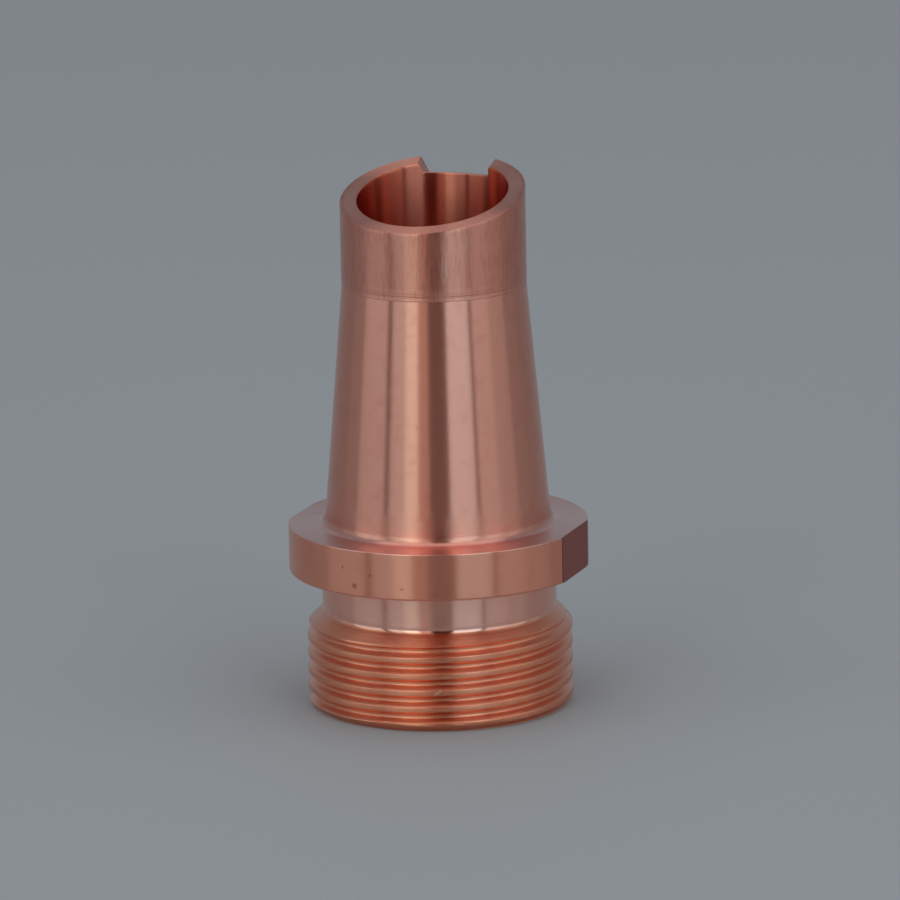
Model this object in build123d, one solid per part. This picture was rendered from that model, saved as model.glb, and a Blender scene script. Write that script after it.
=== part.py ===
from build123d import *
import os
from math import radians, tan

# Laser welding nozzle, turned from one bar of copper, standing on its threaded end.
# The origin is the centre of the base face. +Z runs along the bore to the tip,
# +Y points to the wire notch, and the two wrench flats face +X and -X.

# Threaded shank: an M16 fine thread, drawn here as a plain shank at the thread's crests
thread_nominal_d = 16.0
thread_crest_gap = 0.05
lead_in_chamfer = 0.4

# Relief neck between the thread and the flange, cut in from the thread's crests
neck_bottom = 5.85
neck_undercut = 0.95
neck_slope = 45.0
neck_foot_fillet = 0.35

# Flange, which stands out beyond the thread's crests, with its two wrench flats
flange_bottom = 8.25
flange_thickness = 2.8
flange_overhang = 1.0
flat_depth = 0.315
flange_edge_break = 0.12

# Cone, which starts inside the flange's shoulder and ends at the straight band of the tip
shoulder_width = 2.19
cone_foot_fillet = 0.5
band_bottom = 25.5

# Tip, cut off by a plane that rises towards the notch
rim_height = 30.88
rim_tilt = 13.9

# Wire notch, cut through the high side of the rim. At the bore its floor lies the given
# height above the middle of the rim.
notch_width = 4.1
notch_shift = 0.03
notch_floor_rise = 0.34
notch_floor_fall = 8.0
notch_wall_lean = 25.0
notch_corner_radius = 0.2

# Bore: a straight bore at the tip, a taper, and a wider straight bore at the inlet
bore_d = 9.0
tip_wall = 1.0
taper_top = 24.48
neck_wall = 1.0
inlet_depth = 8.0
inlet_chamfer = 0.3

# Sizes that follow from the ones above
crest_r = thread_nominal_d / 2 - thread_crest_gap
neck_r = crest_r - neck_undercut
thread_top = neck_bottom - neck_undercut / tan(radians(neck_slope))
flange_r = crest_r + flange_overhang
flange_top = flange_bottom + flange_thickness
cone_foot_r = flange_r - shoulder_width
inlet_r = neck_r - neck_wall
bore_r = bore_d / 2
tip_r = bore_r + tip_wall
rim_rise = tip_r * tan(radians(rim_tilt))
blank_top = rim_height + rim_rise + tip_r
notch_floor = rim_height + notch_floor_rise


def outer_profile():
    # Half section of the outside, from the base face up to the end of the uncut blank
    return [
        (inlet_r + inlet_chamfer, 0),
        (crest_r - lead_in_chamfer, 0),
        (crest_r, lead_in_chamfer),
        (crest_r, thread_top),
        (neck_r, neck_bottom),
        (neck_r, flange_bottom),
        (flange_r - flange_edge_break, flange_bottom),
        (flange_r, flange_bottom + flange_edge_break),
        (flange_r, flange_top - flange_edge_break),
        (flange_r - flange_edge_break, flange_top),
        (cone_foot_r, flange_top),
        (tip_r, band_bottom),
        (tip_r, blank_top),
    ]


def bore_profile():
    # Half section of the bore, from the end of the uncut blank down to the base face
    return [
        (bore_r, blank_top),
        (bore_r, taper_top),
        (inlet_r, inlet_depth),
        (inlet_r, inlet_chamfer),
    ]


def rounded_corner(section, corner, radius):
    vertex = section.vertices().sort_by_distance(corner)[0]
    return fillet(vertex, radius)


def turned_blank():
    section = make_face(Polyline(outer_profile() + bore_profile(), close=True))
    section = rounded_corner(section, (cone_foot_r, flange_top, 0), cone_foot_fillet)
    section = rounded_corner(section, (neck_r, neck_bottom, 0), neck_foot_fillet)
    return revolve(Plane.XZ * section, axis=Axis.Z)


def wrench_flat_waste():
    # What the cutter takes off the flange on each side to leave the two flats
    reach = 2 * flange_r
    block = Box(reach, 2 * reach, 2 * flange_thickness, align=(Align.MIN, Align.CENTER, Align.CENTER))
    middle = flange_bottom + flange_thickness / 2
    right = Pos(flange_r - flat_depth, 0, middle) * block
    return [right, mirror(right, about=Plane.YZ)]


def tip_waste():
    # Everything above the tilted plane of the rim
    reach = 8 * tip_r
    block = Box(reach, reach, reach, align=(Align.CENTER, Align.CENTER, Align.MIN))
    return Pos(0, 0, rim_height) * Rot(X=rim_tilt) * block


def notch_waste():
    # One wall is upright and the other leans outwards. The floor falls away from the bore.
    height = tip_r
    left = notch_shift - notch_width / 2
    right = notch_shift + notch_width / 2
    spread = height * tan(radians(notch_wall_lean))
    outline = make_face(
        Polyline((left, 0), (right, 0), (right, height), (left - spread, height), close=True)
    )
    cutter = extrude(Plane.XZ * outline, amount=-2 * tip_r)
    middle_of_wall = Pos(0, bore_r, notch_floor)
    return middle_of_wall * Rot(X=-notch_floor_fall) * Pos(0, -bore_r, 0) * cutter


def notch_corners(body):
    # The two straight edges where the notch's walls meet the rim, the highest ones of all
    return body.edges().filter_by(GeomType.LINE).sort_by(Axis.Z)[-2:]


def nozzle():
    body = turned_blank()
    for waste in wrench_flat_waste():
        body = body - waste
    body = body - tip_waste() - notch_waste()
    return fillet(notch_corners(body), notch_corner_radius)


os.makedirs("parts", exist_ok=True)
export_step(nozzle(), "parts/nozzle_body.step")
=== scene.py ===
from collections import namedtuple
from math import ceil, cos, pi, radians, sin, tan

import bmesh
import bpy
import numpy as np
from mathutils import Matrix, Vector


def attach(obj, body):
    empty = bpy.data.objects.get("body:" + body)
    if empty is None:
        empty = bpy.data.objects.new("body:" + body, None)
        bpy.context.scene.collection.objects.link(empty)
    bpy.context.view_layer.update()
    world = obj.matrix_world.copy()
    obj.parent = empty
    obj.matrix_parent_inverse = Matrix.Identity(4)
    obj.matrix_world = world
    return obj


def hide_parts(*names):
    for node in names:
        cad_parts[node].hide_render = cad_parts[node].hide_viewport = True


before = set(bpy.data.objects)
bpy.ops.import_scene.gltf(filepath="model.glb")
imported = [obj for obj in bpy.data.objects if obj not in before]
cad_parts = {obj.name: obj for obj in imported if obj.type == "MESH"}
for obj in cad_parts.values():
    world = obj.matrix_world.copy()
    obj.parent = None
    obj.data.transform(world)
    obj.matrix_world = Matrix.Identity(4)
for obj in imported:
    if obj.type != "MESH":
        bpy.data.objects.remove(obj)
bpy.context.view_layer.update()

# A nozzle turned from copper. All its sizes below are in millimetres, in the frame of the solid:
# the origin is in the base face, Z runs up the bore and Y points to the wire notch.
MM = 0.001

# Thread, right-handed and of one start
CREST_R = 7.94
PITCH = 1.0
THREAD_DEPTH = 0.42
THREAD_TURN = 0.86
CREST_FLAT = 0.3
THREAD_EDGE_R = 0.04
ROOT_R = 0.1
LEAD_IN = 0.4
BURR = 0.02
CREST_TO_SLOPE_ROUND = 0.05

# Relief neck and flange
NECK_R = 7.0
NECK_BOTTOM = 5.85
NECK_FILLET = 0.35
NECK_TOP_FILLET = 0.12
FLANGE_BOTTOM = 8.25
FLANGE_TOP = 11.05
FLANGE_R = 8.94
FLAT_X = 8.63
TOP_EDGE_BREAK = 0.04
LOW_EDGE_BREAK = 0.11

# Cone and the straight band at the tip
FOOT_FILLET = 0.5
CONE_SLOPE = tan(radians(5.0))
BAND_BOTTOM = 25.72
BAND_R = 5.5
BAND_STEP = 0.03
BAND_FOOT_R = 0.03
BAND_STEP_R = 0.01

# Slanted rim
RIM_HEIGHT = 30.88
RIM_SLOPE = tan(radians(13.9))
RIM_BREAK = 0.035

# Wire notch: its left wall leans, its right wall is upright but for a trace of draft
NOTCH_LEFT = -2.02
NOTCH_RIGHT = 2.08
NOTCH_FLOOR = 31.22
NOTCH_FALL = tan(radians(8.0))
LEFT_LEAN = radians(25.0)
RIGHT_LEAN = radians(2.0)
NOTCH_CORNER_R = 0.2

# Bore
BORE_R = 4.5
BORE_BOTTOM = 24.48
INLET_R = 6.0
INLET_DEPTH = 8.0
INLET_CHAMFER = 0.3

# Mesh: columns all round, columns on each side of the notch's middle, and steps in its parts
COLUMNS = 480
NOTCH_HALF = 36
NOTCH_ARC_STEPS = 6
NOTCH_WALL_STEPS = 4
RIM_BREAK_STEPS = 3
THREAD_ROWS_TOP = NECK_BOTTOM + 0.25
UNDER_RIM = 1.15
WELD = 0.0012
SLIVER = 0.0005
SHARP_ANGLE = radians(32)

# Camera, as it stood to the nozzle in the photograph
CAMERA_TURN = 20.0
CAMERA_REACH = 442.75
CAMERA_HEIGHT = 117.63
CAMERA_PITCH = -13.015
CAMERA_YAW = 0.1006
CAMERA_ROLL = -0.995
FRAME_SIDE_PX = 900
FOCAL_LENGTH_PX = 7630.5
SENSOR_WIDTH = 36.0


def arc_corner(before, corner, after, radius, steps):
    """Points that round a corner of an outline in (r, z) with an arc of that radius."""
    b, c, a = (np.array(p, float) for p in (before, corner, after))
    to_b = (b - c) / np.linalg.norm(b - c)
    to_a = (a - c) / np.linalg.norm(a - c)
    half = 0.5 * np.arccos(np.clip(to_b @ to_a, -1, 1))
    reach = radius / tan(half)
    middle = c + (to_b + to_a) / np.linalg.norm(to_b + to_a) * radius / sin(half)
    start, end = c + to_b * reach - middle, c + to_a * reach - middle
    turn = np.arctan2(start[0] * end[1] - start[1] * end[0], start @ end)
    points = []
    for i in range(steps + 1):
        across, up = cos(turn * i / steps), sin(turn * i / steps)
        turned = (start[0] * across - start[1] * up, start[0] * up + start[1] * across)
        points.append(middle + np.array(turned))
    return points


def rounded_outline(corners, longest):
    """An outline in (r, z) from (r, z, radius) corners. Long stretches are divided, and the
    first and last divisions lie close to the ends, which keeps the shading flat."""
    edge = 0.04
    points = [np.array(corners[0][:2], float)]
    for i in range(1, len(corners) - 1):
        r, z, radius = corners[i]
        if radius > 0:
            points += arc_corner(corners[i - 1][:2], (r, z), corners[i + 1][:2], radius, 4)
        else:
            points.append(np.array([r, z], float))
    points.append(np.array(corners[-1][:2], float))
    divided = [points[0]]
    for a, b in zip(points, points[1:]):
        length = np.linalg.norm(b - a)
        if length > 6 * edge:
            middle = length - 2 * edge
            inner = max(1, ceil(middle / longest))
            stops = [edge + middle * k / inner for k in range(inner + 1)]
            divided += [a + (b - a) * stop / length for stop in stops]
        divided.append(b)
    return divided


def even_angles():
    """Column angles from +Y towards +X, with a column on each end of each wrench flat."""
    angles = np.arange(COLUMNS) * 2 * pi / COLUMNS
    half = np.arccos(FLAT_X / FLANGE_R)
    for middle in (pi / 2, 3 * pi / 2):
        for end in (middle - half, middle + half):
            angles[np.abs(angles - end).argmin()] = end
    return angles


ANGLES = even_angles()


def ring(r, z, angles=None):
    """One loop of points of the mesh, in millimetres."""
    a = ANGLES if angles is None else angles
    r = np.broadcast_to(r, a.shape)
    z = np.broadcast_to(z, a.shape)
    return np.stack([r * np.sin(a), r * np.cos(a), z], 1)


def soft_min(a, b, k):
    """The smaller of two values, with the change from one to the other rounded over k."""
    h = np.clip(0.5 + 0.5 * (b - a) / k, 0, 1)
    return b * (1 - h) + a * h - k * h * (1 - h)


def shank_outline(z):
    """Radius of the shank before its thread is cut, from the lead-in up to the neck."""
    lead = CREST_R - LEAD_IN + z
    flank = NECK_R + (NECK_BOTTOM - z)
    r = soft_min(np.minimum(lead, CREST_R), flank, CREST_TO_SLOPE_ROUND)
    reach = NECK_FILLET * tan(pi / 8)
    above = NECK_BOTTOM + reach - z
    down = 2 * reach * cos(pi / 8) ** 2
    inside = np.clip(above, 0, down)
    fillet = NECK_R + NECK_FILLET - np.sqrt(np.maximum(NECK_FILLET ** 2 - inside ** 2, 0))
    low_end = z < NECK_BOTTOM + reach - down * 0.999
    return np.where(low_end, np.maximum(r, NECK_R), fillet)


def thread_section():
    """One pitch of the thread's section as (height, radius), from the middle of a crest up."""
    run = THREAD_DEPTH * tan(radians(30.0))
    half_crest = CREST_FLAT / 2
    root = CREST_R - THREAD_DEPTH
    corners = [
        (CREST_R, 0.0, 0.0),
        (CREST_R, half_crest, THREAD_EDGE_R),
        (root, half_crest + run, ROOT_R),
        (root, PITCH / 2, 0.0),
    ]
    up = [corners[0][:2]]
    for before, corner, after in zip(corners, corners[1:], corners[2:]):
        up += [tuple(p) for p in arc_corner(before[:2], corner[:2], after[:2], corner[2], 2)]
    flank_start, flank_end = np.array(up[3]), np.array(up[4])
    up.insert(4, tuple(0.5 * (flank_start + flank_end)))
    down = [(r, PITCH - z) for r, z in reversed(up[1:])]
    return [(z, r) for r, z in up + down]


def thread_rows(top):
    """Rows that follow the helix, so that its edges lie along the mesh."""
    section = thread_section()
    per_turn = len(section)
    rows = []
    grid = np.array([s[0] for s in section] + [PITCH])
    radii = np.array([s[1] for s in section] + [section[0][1]])
    drop = PITCH * (ANGLES / (2 * pi) - THREAD_TURN)
    for turn in range(-1, ceil(top / PITCH) + 1):
        for offset, radius in section:
            along = turn * PITCH + offset - drop
            z = np.clip(along, 0, top)
            at_end = np.interp(np.mod(z + drop, PITCH), grid, radii)
            cut = np.where(along == z, radius, at_end)
            rows.append(ring(soft_min(shank_outline(z), cut, BURR), z))
    return rows, per_turn


def flange_limit(points):
    """Cuts the two wrench flats into a ring of the flange."""
    a = np.arctan2(points[:, 0], points[:, 1])
    r = np.hypot(points[:, 0], points[:, 1])
    limit = FLAT_X / np.maximum(np.abs(np.sin(a)), 1e-6)
    return ring(np.minimum(r, limit), points[:, 2])


def rim_z(y):
    return RIM_HEIGHT + RIM_SLOPE * y


def floor_z(y):
    return NOTCH_FLOOR - NOTCH_FALL * (y - BORE_R)


def notch_section(y):
    """Section of the notch at that depth of the wall: x and height of each station, left to right."""
    top, low = rim_z(y), floor_z(y)
    left_top = NOTCH_LEFT - (top - low) * tan(LEFT_LEAN)
    right_top = NOTCH_RIGHT + (top - low) * tan(RIGHT_LEAN)
    left_arc, right_arc = (
        arc_corner(before, corner, after, NOTCH_CORNER_R, NOTCH_ARC_STEPS)
        for before, corner, after in (
            ((left_top - 1, top), (left_top, top), (NOTCH_LEFT, low)),
            ((NOTCH_RIGHT, low), (right_top, top), (right_top + 1, top)),
        )
    )
    foot_left, foot_right = np.array([NOTCH_LEFT, low]), np.array([NOTCH_RIGHT, low])
    walls = NOTCH_WALL_STEPS
    floor_steps = 2 * (NOTCH_HALF - NOTCH_ARC_STEPS - walls)
    points = list(left_arc)
    points += [left_arc[-1] + (foot_left - left_arc[-1]) * k / walls for k in range(1, walls)]
    points += [foot_left + (foot_right - foot_left) * k / floor_steps for k in range(floor_steps + 1)]
    points += [foot_right + (right_arc[0] - foot_right) * k / walls for k in range(1, walls)]
    points += list(right_arc)
    return np.array(points)


def tip_column(radius):
    """Angle and top height of every column where the wall has that radius."""
    count = 2 * NOTCH_HALF + 1
    y = np.full(count, radius)
    for _ in range(8):
        stations = np.array([notch_section(v)[i] for i, v in enumerate(y)])
        y = np.sqrt(radius ** 2 - stations[:, 0] ** 2)
    notch_angles = np.arcsin(stations[:, 0] / radius)
    first, last = notch_angles[0], notch_angles[-1]
    angles = np.empty(COLUMNS)
    z = np.empty(COLUMNS)
    step = 2 * pi / COLUMNS
    low_edge, high_edge = -NOTCH_HALF * step, NOTCH_HALF * step
    for j in range(COLUMNS):
        k = j if j <= COLUMNS // 2 else j - COLUMNS
        if abs(k) <= NOTCH_HALF:
            angles[j] = notch_angles[k + NOTCH_HALF]
            z[j] = stations[k + NOTCH_HALF, 1]
            continue
        if k > 0:
            t = (k * step - high_edge) / (pi - high_edge)
            angles[j] = last + t * (pi - last)
        else:
            t = (k * step - low_edge) / (-pi - low_edge)
            angles[j] = first + t * (-pi - first)
        z[j] = rim_z(radius * cos(angles[j]))
    return angles, z


def signed(angles):
    return (angles + pi) % (2 * pi) - pi


def wall_rows(radius, bottom, heights_below):
    """Rows of the tip's wall from the lowest level up to the rim, for one radius."""
    angles, top = tip_column(radius)
    even = signed(ANGLES)
    even[COLUMNS // 2] = angles[COLUMNS // 2] = pi
    cap = rim_z(radius * np.cos(angles)) - UNDER_RIM
    rows = []
    for t in heights_below:
        blend = t * t * (3 - 2 * t)
        z = bottom + (cap - bottom) * t
        rows.append(ring(radius, z, even + (angles - even) * blend))
    for t in (0.3, 0.6, 0.85):
        rows.append(ring(radius, cap + (top - RIM_BREAK - cap) * t, angles))
    return rows


def rim_rows():
    """Rows across the rim's face, from the outside to the bore, with broken edges."""
    rows = []
    quarter = [pi / 2 * i / RIM_BREAK_STEPS for i in range(RIM_BREAK_STEPS + 1)]
    for t in quarter:
        radius = BAND_R - RIM_BREAK * (1 - cos(t))
        angles, top = tip_column(radius)
        rows.append(ring(radius, top - RIM_BREAK * (1 - sin(t)), angles))
    inner_edge = BORE_R + RIM_BREAK
    outer_edge = BAND_R - RIM_BREAK
    for t in (0.05, 0.35, 0.65, 0.95):
        radius = outer_edge + (inner_edge - outer_edge) * t
        angles, top = tip_column(radius)
        rows.append(ring(radius, top, angles))
    for t in quarter:
        radius = BORE_R + RIM_BREAK * (1 - sin(t))
        angles, top = tip_column(radius)
        rows.append(ring(radius, top - RIM_BREAK * (1 - cos(t)), angles))
    return rows


def outside_rows():
    """Rows of the neck, the flange and the cone, up to the start of the band."""
    cone_top = BAND_R - BAND_STEP
    cone_foot = cone_top + (BAND_BOTTOM - FLANGE_TOP) * CONE_SLOPE
    corners = [
        (NECK_R, THREAD_ROWS_TOP, 0),
        (NECK_R, FLANGE_BOTTOM, NECK_TOP_FILLET),
        (FLANGE_R, FLANGE_BOTTOM, LOW_EDGE_BREAK),
        (FLANGE_R, FLANGE_TOP, TOP_EDGE_BREAK),
        (cone_foot, FLANGE_TOP, FOOT_FILLET),
        (cone_top, BAND_BOTTOM, BAND_FOOT_R),
        (BAND_R, BAND_BOTTOM + BAND_STEP, BAND_STEP_R),
        (BAND_R, BAND_BOTTOM + 2 * BAND_STEP, 0),
    ]
    rows = []
    for r, z in rounded_outline(corners, 1.4)[1:]:
        on_flange = FLANGE_BOTTOM - 0.01 < z < FLANGE_TOP + 0.01
        rows.append(flange_limit(ring(r, z)) if on_flange else ring(r, z))
    return rows


def inside_rows():
    """Rows of the bore below the tip, from the start of the taper down to the base face."""
    corners = [
        (BORE_R, BORE_BOTTOM, 0),
        (INLET_R, INLET_DEPTH, 0),
        (INLET_R, INLET_CHAMFER, 0),
        (INLET_R + INLET_CHAMFER, 0, 0),
    ]
    return [ring(r, z) for r, z in rounded_outline(corners, 2.0)[1:-1]]


def nozzle_rows():
    """All rows of the nozzle's skin as one closed loop, from the inlet's edge round to itself."""
    underside = [(INLET_R + INLET_CHAMFER, 0, 0), (CREST_R - THREAD_DEPTH - 0.1, 0, 0)]
    rows = [ring(r, z) for r, z in rounded_outline(underside, 0.5)]
    thread_start = len(rows)
    threads, per_turn = thread_rows(THREAD_ROWS_TOP)
    rows += threads
    thread_end = len(rows)
    rows += outside_rows()
    rows += wall_rows(BAND_R, BAND_BOTTOM + 2 * BAND_STEP, (0.06, 0.2, 0.4, 0.6, 0.8, 1.0))
    rows += rim_rows()
    rows += reversed(wall_rows(BORE_R, BORE_BOTTOM, (0.0, 0.02, 0.2, 0.4, 0.6, 0.8, 1.0)))
    rows += inside_rows()
    return rows, thread_start, thread_end, per_turn


def seam_row(i, start, end, per_turn):
    """The row that a helical row runs into after one turn. Other rows close on themselves."""
    if start <= i < end:
        return max(start, i - per_turn)
    return i


def skin_faces(count, thread_start, thread_end, per_turn):
    """Faces between each row and the next, and between the last column and the first."""
    faces = []
    for i in range(count):
        k = (i + 1) % count
        here = seam_row(i, thread_start, thread_end, per_turn)
        there = seam_row(k, thread_start, thread_end, per_turn)
        for j in range(COLUMNS - 1):
            faces.append((i * COLUMNS + j, i * COLUMNS + j + 1, k * COLUMNS + j + 1, k * COLUMNS + j))
        j = COLUMNS - 1
        faces.append((i * COLUMNS + j, here * COLUMNS, there * COLUMNS, k * COLUMNS + j))
    return faces


def nozzle_mesh():
    rows, thread_start, thread_end, per_turn = nozzle_rows()
    points = np.concatenate(rows) * MM
    mesh = bpy.data.meshes.new("nozzle")
    mesh.from_pydata(points.tolist(), [], skin_faces(len(rows), thread_start, thread_end, per_turn))
    work = bmesh.new()
    work.from_mesh(mesh)
    bmesh.ops.remove_doubles(work, verts=work.verts, dist=WELD * MM)
    bmesh.ops.dissolve_degenerate(work, edges=work.edges, dist=SLIVER * MM)
    bmesh.ops.recalc_face_normals(work, faces=work.faces)
    work.to_mesh(mesh)
    work.free()
    mesh.shade_smooth()
    mesh.set_sharp_from_angle(angle=SHARP_ANGLE)
    return mesh


def add_node(tree, kind, inputs=None, **settings):
    """A shader node with its settings made and each input set, or linked to another node."""
    made = tree.nodes.new("ShaderNode" + kind)
    for name, value in settings.items():
        setattr(made, name, value)
    for key, value in (inputs or {}).items():
        if isinstance(value, bpy.types.NodeSocket):
            tree.links.new(value, made.inputs[key])
        else:
            made.inputs[key].default_value = value
    return made


def calc(tree, operation, *values):
    return add_node(tree, "Math", dict(enumerate(values)), operation=operation).outputs[0]


def product(tree, first, *others):
    for other in others:
        first = calc(tree, "MULTIPLY", first, other)
    return first


def total(tree, first, *others):
    for other in others:
        first = calc(tree, "ADD", first, other)
    return first


def rise(tree, value, start, end, low=0.0, high=1.0):
    """Goes smoothly from low to high while the value goes from start to end."""
    inputs = {"Value": value, "From Min": start, "From Max": end, "To Min": low, "To Max": high}
    return add_node(tree, "MapRange", inputs, interpolation_type="SMOOTHSTEP").outputs["Result"]


def noise(tree, place, scale, detail=2.0, roughness=0.5, dimensions="3D"):
    key = "W" if dimensions == "1D" else "Vector"
    inputs = {key: place, "Scale": scale, "Detail": detail, "Roughness": roughness}
    return add_node(tree, "TexNoise", inputs, noise_dimensions=dimensions).outputs["Fac"]


def tint(tree, colour, amount, factors):
    """Multiplies a colour by the given factors where the amount is 1."""
    mixed = add_node(tree, "Mix", None, data_type="RGBA", blend_type="MULTIPLY")
    sockets = {socket.name: socket for socket in mixed.inputs if socket.enabled}
    tree.links.new(amount, sockets["Factor"])
    tree.links.new(colour, sockets["A"])
    sockets["B"].default_value = (*factors, 1)
    return [socket for socket in mixed.outputs if socket.enabled][0]


# Colour of the copper from the base up: where it starts to be that colour, and the colour. The changes from
# part to part are painted light and shade: deeper red on the thread for light bounced between its flanks,
# paler where the neck and the flange's top face are lit.
COPPER_ZONES_WITH_PAINTED_LIGHT = [
    (0.0, (0.90, 0.300, 0.172)),
    (5.88, (0.92, 0.430, 0.330)),
    (8.24, (0.87, 0.322, 0.215)),
    (11.02, (0.92, 0.440, 0.380)),
    (11.12, (0.80, 0.310, 0.220)),
    (25.75, (0.77, 0.285, 0.205)),
]
ZONE_BLUR = 0.04
RAMP_TOP = 33.0


def zone_colour(tree, z):
    ramp = add_node(tree, "ValToRGB", {"Fac": calc(tree, "DIVIDE", z, RAMP_TOP)})
    elements = ramp.color_ramp.elements
    elements[0].position, elements[0].color = 0.0, (*COPPER_ZONES_WITH_PAINTED_LIGHT[0][1], 1)
    elements[1].position, elements[1].color = 1.0, (*COPPER_ZONES_WITH_PAINTED_LIGHT[-1][1], 1)
    for (_, below), (start, colour) in zip(COPPER_ZONES_WITH_PAINTED_LIGHT, COPPER_ZONES_WITH_PAINTED_LIGHT[1:]):
        for place, value in ((start - ZONE_BLUR, below), (start + ZONE_BLUR, colour)):
            elements.new(place / RAMP_TOP).color = (*value, 1)
    return ramp.outputs["Color"]


# Small dark spots on the flange: middle and reach
SPOTS = [
    ((-2.15, -8.68, 8.88), 0.24),
    ((-1.12, -8.87, 9.66), 0.12),
    ((0.88, -8.90, 8.95), 0.12),
    ((-2.97, -8.43, 9.92), 0.12),
]

# Scratches: angle and height of the middle, radius of the surface, lean, half length, half width
SCRATCHES = [
    (161.6, 2.44, 7.9, -54.0, 0.26, 0.07),
    (154.3, 27.25, 5.5, 0.0, 0.85, 0.035),
    (152.2, 27.3, 5.5, 3.0, 0.5, 0.03),
]


Position = namedtuple("Position", "point x y z radius angle")


def position(tree):
    """Where a point of the surface is, in millimetres. The angle is from +Y towards +X."""
    point = add_node(tree, "TexCoord").outputs["Object"]
    point = add_node(tree, "VectorMath", {0: point, "Scale": 1 / MM}, operation="SCALE").outputs["Vector"]
    axes = add_node(tree, "SeparateXYZ", {0: point}).outputs
    x, y, z = axes["X"], axes["Y"], axes["Z"]
    radius = calc(tree, "SQRT", total(tree, product(tree, x, x), product(tree, y, y)))
    return Position(point, x, y, z, radius, calc(tree, "ARCTAN2", x, y))


def spots(tree, at):
    """1 in the dark spots and 0 elsewhere, with ragged edges."""
    raggedness, margin = 0.25, 0.12
    ragged = product(tree, noise(tree, at.point, 6.0), raggedness)
    found = 0.0
    for middle, reach in SPOTS:
        away = add_node(tree, "VectorMath", {0: at.point, 1: middle}, operation="DISTANCE").outputs["Value"]
        inside = rise(tree, total(tree, away, ragged), reach + margin, reach * 0.5 + margin)
        found = calc(tree, "MAXIMUM", found, inside)
    return found


def scratches(tree, at):
    """1 on the scratches and 0 elsewhere."""
    found = 0.0
    for turn, height, surface, lean, half_length, half_width in SCRATCHES:
        s, c = sin(radians(lean)), cos(radians(lean))
        across = product(tree, calc(tree, "SUBTRACT", at.angle, radians(turn)), surface)
        along = calc(tree, "SUBTRACT", at.z, height)
        length = total(tree, product(tree, along, c), product(tree, across, s))
        width = calc(tree, "SUBTRACT", product(tree, across, c), product(tree, along, s))
        ends = rise(tree, calc(tree, "ABSOLUTE", length), half_length, half_length * 0.8)
        edges = rise(tree, calc(tree, "ABSOLUTE", width), half_width, half_width * 0.5)
        near = rise(tree, at.radius, surface - 0.6, surface - 0.5)
        found = calc(tree, "MAXIMUM", found, product(tree, near, ends, edges))
    return found


def regions(tree, at):
    """For each named region of the surface, 1 in it and 0 elsewhere."""
    outside = rise(tree, at.radius, 5.2, 5.3)
    band = product(tree, outside, rise(tree, at.z, BAND_BOTTOM - 0.3, BAND_BOTTOM - 0.2))
    above_rim = calc(tree, "SUBTRACT", at.z, product(tree, at.y, RIM_SLOPE))
    return {
        "bore": product(tree, rise(tree, at.radius, 4.62, 4.54), rise(tree, at.z, 11.0, 14.0)),
        "flat": rise(tree, calc(tree, "ABSOLUTE", at.x), FLAT_X - 0.02, FLAT_X - 0.01),
        "band": band,
        "low band": product(tree, band, rise(tree, at.z, BAND_BOTTOM + 0.45, BAND_BOTTOM + 0.3)),
        "cone foot": product(tree, rise(tree, at.z, 13.4, 11.9), rise(tree, at.z, 11.2, 11.4)),
        "thread": rise(tree, at.z, 5.75, 5.6),
        "rim": rise(tree, above_rim, RIM_HEIGHT - 0.03, RIM_HEIGHT - 0.01),
        "neck fillet": product(tree, rise(tree, at.z, 5.8, 5.85), rise(tree, at.z, 6.2, 6.05)),
    }


def streak_pattern(tree, at):
    """Upright streaks, short round the nozzle and long up it."""
    round_it, up_it = product(tree, at.angle, 9.0), product(tree, at.z, 0.16)
    place = add_node(tree, "CombineXYZ", {0: round_it, 1: up_it, 2: at.radius}).outputs[0]
    return noise(tree, place, 5.0, 3.0, 0.62)


# What each region or mark does to the colour of the copper; some of it is painted light, as said at each
# Painted bounce light: the bore is tinted a deeper red for light bounced between its copper walls
BORE_PAINTED_BOUNCE_TINT = (1.0, 0.72, 0.62)
# Painted dark reflection: the wrench flats are darkened in colour for the dark surroundings they mirror
FLAT_PAINTED_DARK_REFLECTION_TINT = (0.40, 0.11, 0.05)
STREAK_TINT = (0.90, 0.84, 0.82)
MOTTLE_TINT = (0.95, 0.90, 0.88)
SPOT_TINT = (0.66, 0.54, 0.48)
# The scratches are real marks; their pale, bright colour is a painted glint of soft box light
SCRATCH_PAINTED_GLINT_TINT = (1.08, 1.9, 2.2)

# Depths of the turning marks in millimetres: everywhere, and what each region adds
RING_DEPTH = 0.0022
LOW_BAND_RING_DEPTH = 0.012
CONE_FOOT_RING_DEPTH = 0.006
THREAD_RING_DEPTH = 0.009
STREAK_DEPTH = 0.006


def copper_colour(tree, at, on, streaks, mottle, scratched_and_glinting):
    # Copper colour by height, with painted light and shade from part to part
    colour = zone_colour(tree, at.z)
    # Painted bounce light: a deeper red inside the bore
    colour = tint(tree, colour, on["bore"], BORE_PAINTED_BOUNCE_TINT)
    # Painted dark reflection on the wrench flats
    colour = tint(tree, colour, on["flat"], FLAT_PAINTED_DARK_REFLECTION_TINT)
    colour = tint(tree, colour, product(tree, on["band"], rise(tree, streaks, 0.45, 0.65)), STREAK_TINT)
    colour = tint(tree, colour, rise(tree, mottle, 0.5, 0.75), MOTTLE_TINT)
    colour = tint(tree, colour, spots(tree, at), SPOT_TINT)
    # Painted glint: the scratches are brightened in colour
    return tint(tree, colour, scratched_and_glinting, SCRATCH_PAINTED_GLINT_TINT)


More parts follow.
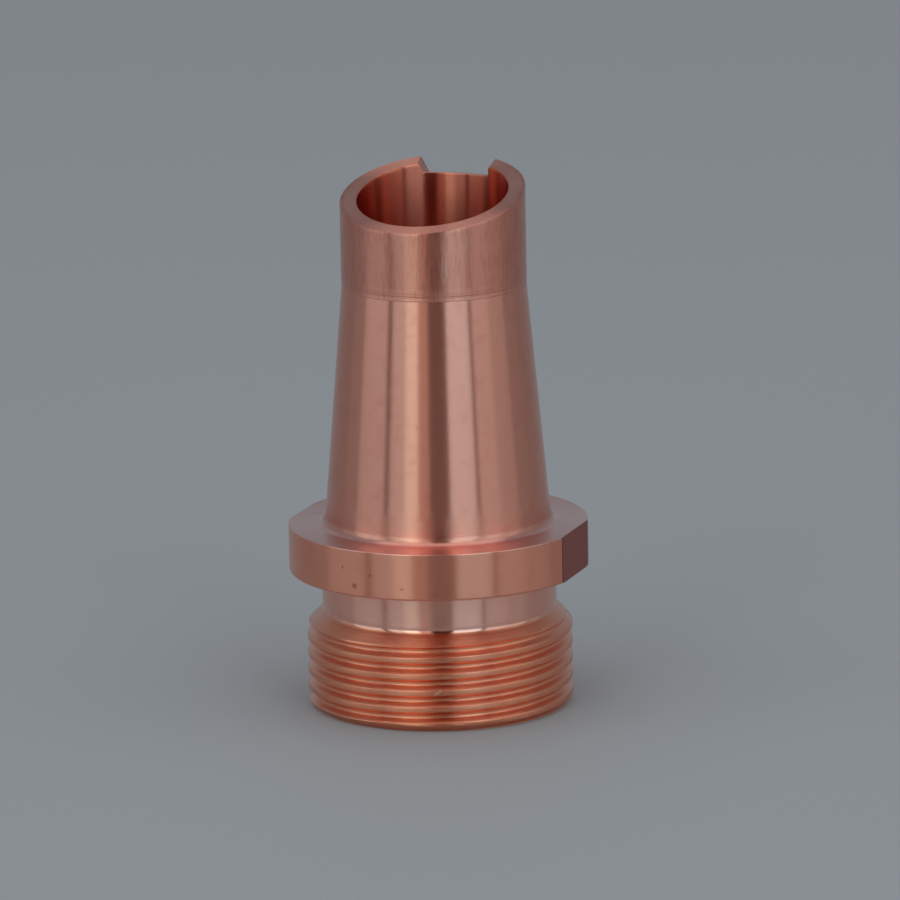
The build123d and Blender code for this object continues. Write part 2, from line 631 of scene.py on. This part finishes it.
def turning_marks(tree, at, on, streaks):
    """Height of the turning marks and streaks over the even surface, in millimetres."""
    ring_depth = total(
        tree,
        RING_DEPTH,
        product(tree, on["low band"], LOW_BAND_RING_DEPTH),
        product(tree, on["cone foot"], CONE_FOOT_RING_DEPTH),
    )
    return total(
        tree,
        product(tree, noise(tree, at.z, 11.0, 3.0, 0.7, "1D"), ring_depth),
        product(tree, noise(tree, at.z, 24.0, 2.0, 0.6, "1D"), on["thread"], THREAD_RING_DEPTH),
        product(tree, streaks, on["band"], STREAK_DEPTH),
    )


def copper_roughness(tree, on, streaks, mottle, scratched_and_glinting):
    return total(
        tree,
        0.215,
        product(tree, mottle, 0.05),
        product(tree, on["band"], streaks, 0.12),
        product(tree, on["rim"], 0.1),
        product(tree, on["neck fillet"], -0.08),
        product(tree, scratched_and_glinting, 0.3),
    )


def copper():
    material = bpy.data.materials.new("copper")
    material.use_nodes = True
    tree = material.node_tree
    shader = tree.nodes["Principled BSDF"]
    at = position(tree)
    on = regions(tree, at)
    streaks = streak_pattern(tree, at)
    mottle = noise(tree, at.point, 0.9, 3.0, 0.6)
    scratched_and_glinting = scratches(tree, at)
    colour = copper_colour(tree, at, on, streaks, mottle, scratched_and_glinting)
    roughness = copper_roughness(tree, on, streaks, mottle, scratched_and_glinting)
    height = turning_marks(tree, at, on, streaks)
    bump = add_node(tree, "Bump", {"Strength": 1.0, "Distance": MM, "Height": height})
    tangent = add_node(tree, "Tangent", None, direction_type="RADIAL", axis="Z")

    shader.inputs["Metallic"].default_value = 1.0
    shader.inputs["Anisotropic"].default_value = 1.0
    shader.inputs["Anisotropic Rotation"].default_value = 0.25
    tree.links.new(colour, shader.inputs["Base Color"])
    tree.links.new(roughness, shader.inputs["Roughness"])
    tree.links.new(bump.outputs["Normal"], shader.inputs["Normal"])
    tree.links.new(tangent.outputs["Tangent"], shader.inputs["Tangent"])
    return material


def plain_material(name, colour, roughness):
    material = bpy.data.materials.new(name)
    material.use_nodes = True
    shader = material.node_tree.nodes["Principled BSDF"]
    shader.inputs["Base Color"].default_value = colour
    shader.inputs["Roughness"].default_value = roughness
    return material


def link(name, data):
    piece = bpy.data.objects.new(name, data)
    bpy.context.scene.collection.objects.link(piece)
    return piece


nozzle = link("nozzle_looks", nozzle_mesh())
nozzle.data.materials.append(copper())
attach(nozzle, "root")
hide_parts("nozzle_body")

side = 3.0
floor_corners = [(-side, -side, 0), (side, -side, 0), (side, side, 0), (-side, side, 0)]
floor_mesh = bpy.data.meshes.new("floor")
floor_mesh.from_pydata(floor_corners, [], [(0, 1, 2, 3)])
floor = link("floor", floor_mesh)
floor.data.materials.append(plain_material("floor_grey", (0.405, 0.352, 0.340, 1), 0.7))


def aside(azimuth, distance):
    """A place round the nozzle. Azimuths are seen from it, from the camera's side to its right."""
    a = radians(azimuth) + radians(CAMERA_TURN)
    return distance * sin(a), -distance * cos(a)


def soft_box(name, start, end, level, colour):
    """A soft box that stands on the floor between two azimuths."""
    height = 0.5
    ends = [Vector((*aside(azimuth, SOFT_BOX_DISTANCE), 0)) for azimuth in (start, end)]
    light = bpy.data.lights.new(name, "AREA")
    light.shape = "RECTANGLE"
    light.size = (ends[1] - ends[0]).length
    light.size_y = height
    light.energy = level * pi * light.size * light.size_y
    light.color = colour
    lamp = link(name, light)
    middle = (ends[0] + ends[1]) / 2
    up = Vector((0, 0, 1))
    out = middle.normalized()
    aim = Matrix((up.cross(out), up, out)).transposed().to_4x4()
    lamp.matrix_world = Matrix.Translation(middle + up * height / 2) @ aim
    lamp.visible_camera = False


# Distances from the nozzle, in metres. The dark cards stand just inside the ring of soft boxes.
SOFT_BOX_DISTANCE = 0.52
CARD_DISTANCE = 0.51
CARD_HEIGHT = 0.9
CARD_FOOT = 0.001

# What the nozzle mirrors, from the left round to the right: azimuths, brightness and colour
SOFT_BOXES = {
    "left_side": (-112, -92, 0.15, (0.70, 1.0, 1.1)),
    "left_far": (-92, -58, 0.74, (0.70, 1.0, 1.1)),
    "left_middle": (-52, -35, 0.9, (0.66, 1.0, 1.12)),
    "left_near": (-35, -20.5, 1.74, (0.66, 1.0, 1.0)),
    "left_edge": (-20.5, -9, 0.42, (1.0, 0.74, 0.5)),
    "right_near": (13, 41, 1.36, (0.60, 1.0, 1.16)),
    "right_middle": (45, 68, 0.74, (0.74, 1.0, 1.08)),
    "right_far": (68, 92, 0.45, (0.76, 1.0, 1.05)),
    "right_side": (92, 112, 0.1, (0.80, 1.0, 1.05)),
}
for name, (start, end, level, colour) in SOFT_BOXES.items():
    soft_box(name, start, end, level, colour)

ceiling_level = 0.62
ceiling_data = bpy.data.lights.new("ceiling", "AREA")
ceiling_data.size = 1.6
ceiling_data.energy = ceiling_level * pi * ceiling_data.size ** 2
ceiling = link("ceiling", ceiling_data)
ceiling.location = (*aside(0, 0.25), 1.2)
ceiling.visible_camera = False

# Dark cards between the soft boxes: azimuths of their edges
DARK_CARDS = [(-8, 13), (-58, -52), (41, 45)]
card_points, card_faces = [], []
for start, end in DARK_CARDS:
    left, right = aside(start, CARD_DISTANCE), aside(end, CARD_DISTANCE)
    first = len(card_points)
    card_points += [(*left, CARD_FOOT), (*right, CARD_FOOT), (*right, CARD_HEIGHT), (*left, CARD_HEIGHT)]
    card_faces.append(tuple(range(first, first + 4)))
cards_mesh = bpy.data.meshes.new("dark_cards")
cards_mesh.from_pydata(card_points, [], card_faces)
cards = link("dark_cards", cards_mesh)
cards.data.materials.append(plain_material("card_dark", (0.12, 0.04, 0.02, 1), 0.9))
cards.visible_camera = False
cards.visible_diffuse = False

world = bpy.data.worlds.new("studio")
bpy.context.scene.world = world
world.use_nodes = True
background = world.node_tree.nodes["Background"]
background.inputs["Color"].default_value = (0.62, 0.84, 0.98, 1)
background.inputs["Strength"].default_value = 0.4

camera_data = bpy.data.cameras.new("camera")
camera_data.sensor_width = SENSOR_WIDTH
camera_data.lens = FOCAL_LENGTH_PX / FRAME_SIDE_PX * SENSOR_WIDTH
camera_data.clip_start = 0.01
camera = link("camera", camera_data)


def camera_matrix():
    """The camera's place and aim. Its yaw, pitch and roll are taken with +Y straight ahead."""
    yaw, pitch, roll = (radians(v) for v in (CAMERA_YAW, CAMERA_PITCH, CAMERA_ROLL))
    ahead = Vector((sin(yaw) * cos(pitch), cos(yaw) * cos(pitch), sin(pitch)))
    level = Vector((cos(yaw), -sin(yaw), 0))
    above = level.cross(ahead)
    right = level * cos(roll) + above * sin(roll)
    up = above * cos(roll) - level * sin(roll)
    aim = Matrix((right, up, -ahead)).transposed().to_4x4()
    place = Matrix.Translation(Vector((0, -CAMERA_REACH, CAMERA_HEIGHT)) * MM)
    return Matrix.Rotation(radians(CAMERA_TURN), 4, "Z") @ place @ aim


camera.matrix_world = camera_matrix()
bpy.context.scene.camera = camera
bpy.context.scene.view_settings.view_transform = "Standard"
